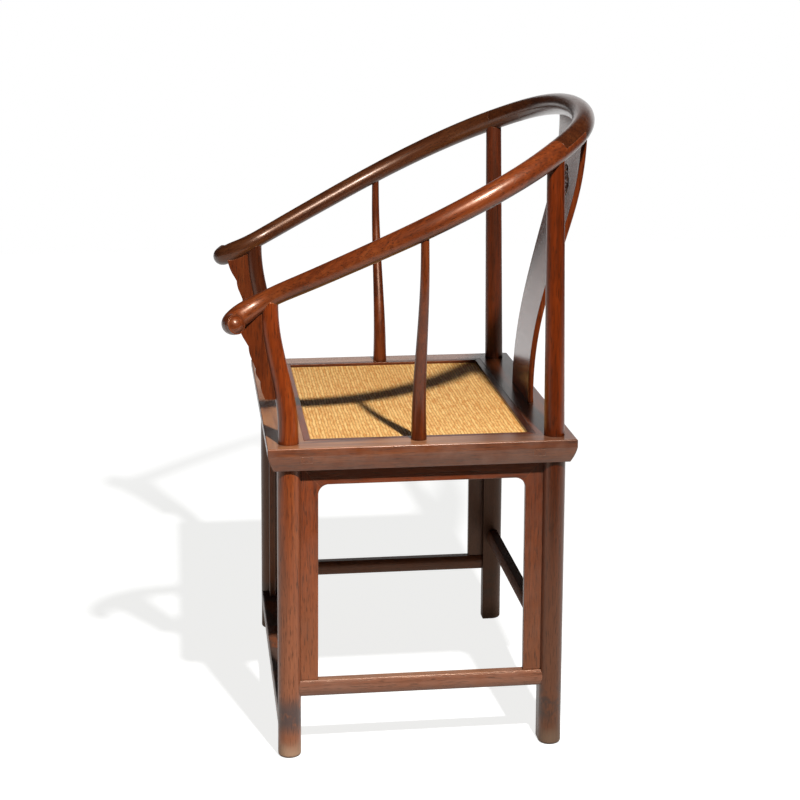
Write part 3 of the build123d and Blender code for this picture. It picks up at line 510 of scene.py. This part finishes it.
# ------------------------------------------------------------------ coir net under the cane
COIR_DARK = (0.10, 0.045, 0.018)
COIR_LIGHT = (0.33, 0.18, 0.08)
COIR_OLD = (0.16, 0.08, 0.035)
COIR_DEPTH = 0.0005
HAIR_SCALE, PATCH_SCALE = 1400, 40
NET_MARGIN = 0.002
NET_SPACING = 0.0115
CORD_RADIUS = 0.00085
CORD_POINTS, CORD_SIDES = 45, 6
NET_DEPTH = 0.0011  # from the mat's underside to the middle of the upper cords
LAYER_STEP = 1.1  # from one layer's middle to the next one's, in cord radii
RIPPLE = 0.0015
RIPPLE_SCALE = 60


def coir():
    """Hairy brown palm-fibre cord."""
    material, shader, start = new_material("coir_cord", Roughness=0.9)
    place = start.node("ShaderNodeTexCoord", output="Object")
    hairs = noise(place, HAIR_SCALE, 2, 0.6)
    patches = noise(place, PATCH_SCALE)
    color = mixed(hairs.smooth(0.35, 0.7), COIR_DARK, COIR_LIGHT)
    color = mixed(patches.smooth(0.4, 0.8) * 0.5, color, COIR_OLD)
    sockets = {"Strength": 0.7, "Distance": COIR_DEPTH, "Height": hairs}
    feed(shader, Base_Color=color, Normal=start.node("ShaderNodeBump", {}, sockets))
    return material


def group_input(tree, name, kind, value=None):
    """Add a named input to a geometry tree and return its identifier."""
    socket = tree.interface.new_socket(name, in_out="INPUT", socket_type=kind)
    if value is not None:
        socket.default_value = value
    return socket.identifier


def net_tree():
    """Two crossed layers of cords that hang in the same curve as the seat."""
    tree = bpy.data.node_groups.new("coir_net", "GeometryNodeTree")
    sizes = {
        "Length": 2 * (MAT_HALF_X - NET_MARGIN),
        "Width": 2 * (MAT_HALF_Y - NET_MARGIN),
        "Spacing": NET_SPACING,
        "Radius": CORD_RADIUS,
        "Height": MAT_UNDERSIDE - NET_DEPTH,
        "Sag": MAT_SAG,
    }
    group_input(tree, "Geometry", "NodeSocketGeometry")
    names = {
        name: group_input(tree, name, "NodeSocketFloat", value) for name, value in sizes.items()
    }
    names["Finish"] = group_input(tree, "Finish", "NodeSocketMaterial")
    tree.interface.new_socket("Geometry", in_out="OUTPUT", socket_type="NodeSocketGeometry")
    entry = tree.nodes.new("NodeGroupInput")
    start = Wire(tree)

    def given(name):
        return Wire(tree, entry.outputs[name])

    def point(x=0.0, y=0.0, z=0.0):
        return start.node("ShaderNodeCombineXYZ", {}, {0: x, 1: y, 2: z})

    def layer(length, width, along, across, lift):
        """Cords side by side. along and across place a distance on one axis or the other."""
        half = length / 2
        ends = {"Start": along(half * -1), "End": along(half)}
        cord = start.node("GeometryNodeCurvePrimitiveLine", {}, ends)
        cord = start.node("GeometryNodeResampleCurve", {}, {"Curve": cord, "Count": CORD_POINTS})
        count = calc("FLOOR", width / given("Spacing"))
        first = (count - 1) * given("Spacing") * -0.5
        row = {"Count": count, "Start Location": across(first), "Offset": across(given("Spacing"))}
        spots = start.node("GeometryNodeMeshLine", {}, row)
        cords = start.node("GeometryNodeInstanceOnPoints", {}, {"Points": spots, "Instance": cord})
        cords = start.node("GeometryNodeRealizeInstances", {}, {0: cords})
        position = start.node("GeometryNodeInputPosition")
        x, y, _ = parts_of(position)
        x, y = x / OPENING_X, y / OPENING_Y
        hang = calc("MAXIMUM", 1 - x * x, 0.0) * calc("MAXIMUM", 1 - y * y, 0.0)
        ripple = noise(position, RIPPLE_SCALE) - 0.5
        drop = given("Height") + lift - given("Sag") * calc("POWER", hang, SAG_POWER)
        offset = point(ripple * RIPPLE, ripple * -RIPPLE, drop)
        cords = start.node("GeometryNodeSetPosition", {}, {"Geometry": cords, "Offset": offset})
        circle = {"Resolution": CORD_SIDES, "Radius": given("Radius")}
        ring = start.node("GeometryNodeCurvePrimitiveCircle", {}, circle)
        sweep = {"Curve": cords, "Profile Curve": ring, "Fill Caps": True}
        return start.node("GeometryNodeCurveToMesh", {}, sweep)

    def on_x(distance):
        return point(x=distance)

    def on_y(distance):
        return point(y=distance)

    long_layer = layer(given("Length"), given("Width"), on_x, on_y, 0.0)
    lift = given("Radius") * -LAYER_STEP
    cross_layer = layer(given("Width"), given("Length"), on_y, on_x, lift)
    both = tree.nodes.new("GeometryNodeJoinGeometry")
    for part in (cross_layer, long_layer):
        tree.links.new(part.socket, both.inputs[0])
    net = start.node("GeometryNodeRealizeInstances", {}, {0: Wire(tree, both.outputs[0])})
    net = start.node("GeometryNodeSetMaterial", {}, {"Geometry": net, "Material": given("Finish")})
    start.node("NodeGroupOutput", {}, {0: net})
    return tree, names


def grown(name, tree, values):
    """Plain mesh piece of a geometry tree's result."""
    seedling = bpy.data.objects.new(name + "_seedling", bpy.data.meshes.new(name + "_seedling"))
    bpy.context.collection.objects.link(seedling)
    modifier = seedling.modifiers.new("tree", "NODES")
    modifier.node_group = tree
    for identifier, value in values.items():
        modifier[identifier] = value
    shaped = seedling.evaluated_get(bpy.context.evaluated_depsgraph_get())
    mesh = bpy.data.meshes.new_from_object(shaped)
    piece = bpy.data.objects.new(name, mesh)
    bpy.context.collection.objects.link(piece)
    bpy.data.objects.remove(seedling)
    return piece


net_group, net_names = net_tree()
net = grown("coir_net", net_group, {net_names["Finish"]: coir()})
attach(net, "root")
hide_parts("coir_underweave")

# ------------------------------------------------------------------ carved cloud-head medallion
MEDALLION_RISE = 0.3400  # middle of the medallion above the seat
MEDALLION_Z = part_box("seat_frame_left")[1].z + MEDALLION_RISE
CARVING_HALF_WIDTH, CARVING_HALF_RISE = 0.0350, 0.0370
CARVING_COLUMNS, CARVING_ROWS = 118, 124
CARVING_HEIGHT = 0.0021
CARVING_SINK = 0.0004  # the sheet between the strokes lies this far below the sunk field
CARVING_BACK = 0.0012
FIELD_TOLERANCE = 0.0006
BEFORE_SPLAT = -0.5  # a place well in front of the splat
MM = 0.001
SCROLL_POINTS, STEM_POINTS = 28, 16
SCROLL_TIGHTENING = 0.80


def scroll(x, z, radius, start, turns, hand):
    """Points along a curl that winds in towards (x, z)."""
    share = np.linspace(0, 1, SCROLL_POINTS)
    turn = start + hand * share * turns * 2 * pi
    reach = radius * (1 - SCROLL_TIGHTENING * share)
    return np.stack([x + reach * np.cos(turn), z + reach * np.sin(turn)], -1)


def stem(*points):
    """Smooth curve from the first point to the last, drawn towards those between them."""
    share = np.linspace(0, 1, STEM_POINTS)[:, None]
    points = [np.array(point, float) for point in points]
    while len(points) > 1:
        points = [a * (1 - share) + b * share for a, b in zip(points, points[1:])]
    return points[0]


def carving_strokes():
    """Half of the cloud scroll, in millimetres from the middle, with half the strokes' widths."""
    return [
        (scroll(9.5, 17.0, 9.0, 1.9, 1.35, -1), 2.0),
        (scroll(21.5, 1.0, 10.5, 1.2, 1.40, -1), 2.1),
        (scroll(8.5, -9.0, 7.5, 0.4, 1.30, -1), 1.8),
        (stem((0, 33), (3, 29), (6.6, 25.5)), 1.7),
        (stem((18.4, 17.5), (22, 16), (25.3, 10.8)), 1.7),
        (stem((15.4, -1.7), (18, -13), (9.5, -19), (0.2, -29)), 1.7),
        (stem((0, 6), (4.5, 3), (0, -1.5)), 1.6),
        (stem((0, -14), (3, -20), (0, -25)), 1.3),
    ]


def carving_height(x, z):
    """Rounded relief of the strokes at points given in millimetres, 0 to 1."""
    best = np.zeros_like(x)
    for line, half_width in carving_strokes():
        for flip in (1, -1):
            path = line * (flip, 1)
            ends = path[1:] - path[:-1]
            offset = np.stack([x, z], -1)[..., None, :] - path[:-1]
            share = np.clip((offset * ends).sum(-1) / (ends * ends).sum(-1), 0, 1)
            gap = offset - share[..., None] * ends
            distance = np.sqrt((gap * gap).sum(-1)).min(-1)
            best = np.maximum(best, np.sqrt(np.clip(1 - (distance / half_width) ** 2, 0, 1)))
    return best


def splat_face(x, z):
    """How far back the splat's front face lies at points of a grid."""
    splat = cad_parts["back_splat"].data
    ground = BVHTree.FromPolygons(
        [vertex.co.copy() for vertex in splat.vertices],
        [tuple(polygon.vertices) for polygon in splat.polygons],
    )
    face = np.zeros_like(x)
    for spot in np.ndindex(x.shape):
        hit = ground.ray_cast(Vector((x[spot], BEFORE_SPLAT, z[spot])), Vector((0, 1, 0)))
        face[spot] = hit[0].y
    return face


def carved_medallion(material):
    """Relief of the scroll on the sunk field, whose edge runs on under the rim."""
    x, z = np.meshgrid(
        np.linspace(-CARVING_HALF_WIDTH, CARVING_HALF_WIDTH, CARVING_COLUMNS),
        np.linspace(-CARVING_HALF_RISE, CARVING_HALF_RISE, CARVING_ROWS),
    )
    relief = carving_height(x / MM, z / MM)
    face = splat_face(x, MEDALLION_Z + z)
    field = np.broadcast_to(face.max(axis=1, keepdims=True), face.shape)
    sunk = np.abs(face - field) < FIELD_TOLERANCE
    standing = np.where(sunk, relief, 0)
    rise = standing * (CARVING_HEIGHT + CARVING_SINK)
    front = np.stack([x, field + CARVING_SINK - rise, MEDALLION_Z + z], -1)
    back = np.stack([x, field + CARVING_BACK, MEDALLION_Z + z], -1)
    return closed_sheet("splat_carving", front, back, material)


CARVING_TONE, CARVING_SEED = 0.7, 61.0
carving = carved_medallion(hardwood("hardwood_carving", UPRIGHT, CARVING_TONE, CARVING_SEED))
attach(carving, "root")

# ------------------------------------------------------------------ floor, light and backdrop
WHITE = (1, 1, 1)
FLOOR_IN_SHADE = (0.83, 0.83, 0.82)
PAPER_SEEN, PAPER_AS_LIGHT = (0.40, 0.40, 0.40), (0.10, 0.10, 0.10)
PAPER_FADE = (1.0, 2.3)  # distances at which the paper's shade starts and ends its way to white
FLOOR_X, FLOOR_Y = (-4.5, 1.25), (-3.5, 3.0)
ROOM_MIRRORED, ROOM_GLOW, SCREEN_GLOW, WINDOW_GLOW = 0.015, 0.02, 0.32, 0.45
LAMP_PLACE = (1.85, 0.285, 2.26)
LAMP_WATTS = 420
LAMP_RADIUS = 0.045


def light_paths(start):
    """Whether a ray comes straight from the camera, off a gloss, or through glass."""
    kinds = ("Is Camera Ray", "Is Glossy Ray", "Is Transmission Ray")
    return [start.node("ShaderNodeLightPath", output=kind) for kind in kinds]


def floor_paper():
    """Pale paper that shows white where the lamp reaches it and keeps the chair's shadow."""
    material = bpy.data.materials.new("floor_paper")
    material.use_nodes = True
    start = Wire(material.node_tree)
    start.tree.nodes.clear()
    straight, mirrored, through = light_paths(start)
    seen = calc("MINIMUM", straight + mirrored + through, 1.0)
    place = start.node("ShaderNodeTexCoord", output="Object")
    far_off = vector_calc("LENGTH", place, output="Value").smooth(*PAPER_FADE)
    paper = mixed(seen, PAPER_AS_LIGHT, PAPER_SEEN)
    matt = start.node("ShaderNodeBsdfDiffuse", {}, {"Color": paper})
    shine = mixed(far_off, FLOOR_IN_SHADE, WHITE)
    glow = start.node("ShaderNodeEmission", {}, {"Color": shine, "Strength": seen})
    both = start.node("ShaderNodeAddShader", {}, {0: matt, 1: glow})
    start.node("ShaderNodeOutputMaterial", {}, {"Surface": both})
    return material


def studio_world():
    """White backdrop with a dim room round it.

    A pale wall and floor mirror in the wood on the sitter's right. A screen on that side and a
    window in front on the sitter's left light the shaded faces.
    """
    studio = bpy.data.worlds.new("studio")
    studio.use_nodes = True
    start = Wire(studio.node_tree)
    start.tree.nodes.clear()
    x, y, z = parts_of(start.node("ShaderNodeTexCoord", output="Generated"))
    low = 1 - z.smooth(0.10, 0.50)
    screen = (1 - x.smooth(-0.80, -0.25)) * low
    window = (1 - y.smooth(-0.85, -0.20)) * x.smooth(-0.30, 0.30) * (1 - z.smooth(0.20, 0.60))
    wall = y.smooth(-0.12, 0.04) * low
    ground = 1 - z.smooth(-0.08, 0.02)
    backdrop = (1 - x.smooth(-0.92, -0.62)) * calc("MAXIMUM", wall, ground)
    straight, mirrored, through = light_paths(start)
    seen = calc("MINIMUM", straight + through, 1.0)
    reflected = ROOM_MIRRORED + backdrop * (1 - ROOM_MIRRORED)
    soft_light = ROOM_GLOW + screen * SCREEN_GLOW + window * WINDOW_GLOW
    room = mirrored * reflected + (1 - mirrored) * soft_light
    strength = seen + (1 - seen) * room
    sockets = {"Color": (*WHITE, 1), "Strength": strength}
    background = start.node("ShaderNodeBackground", {}, sockets)
    start.node("ShaderNodeOutputWorld", {}, {"Surface": background})
    return studio


floor_corners = [(FLOOR_X[i], FLOOR_Y[j], 0) for i, j in ((0, 0), (1, 0), (1, 1), (0, 1))]
floor = mesh_piece("floor", floor_corners, [(0, 1, 2, 3)], floor_paper(), smooth=False)

bpy.context.scene.world = studio_world()

lamp_data = bpy.data.lights.new("key_lamp", "POINT")
lamp_data.energy = LAMP_WATTS
lamp_data.shadow_soft_size = LAMP_RADIUS
lamp = bpy.data.objects.new("key_lamp", lamp_data)
lamp.location = LAMP_PLACE
bpy.context.collection.objects.link(lamp)

bpy.context.scene.view_settings.view_transform = "Standard"
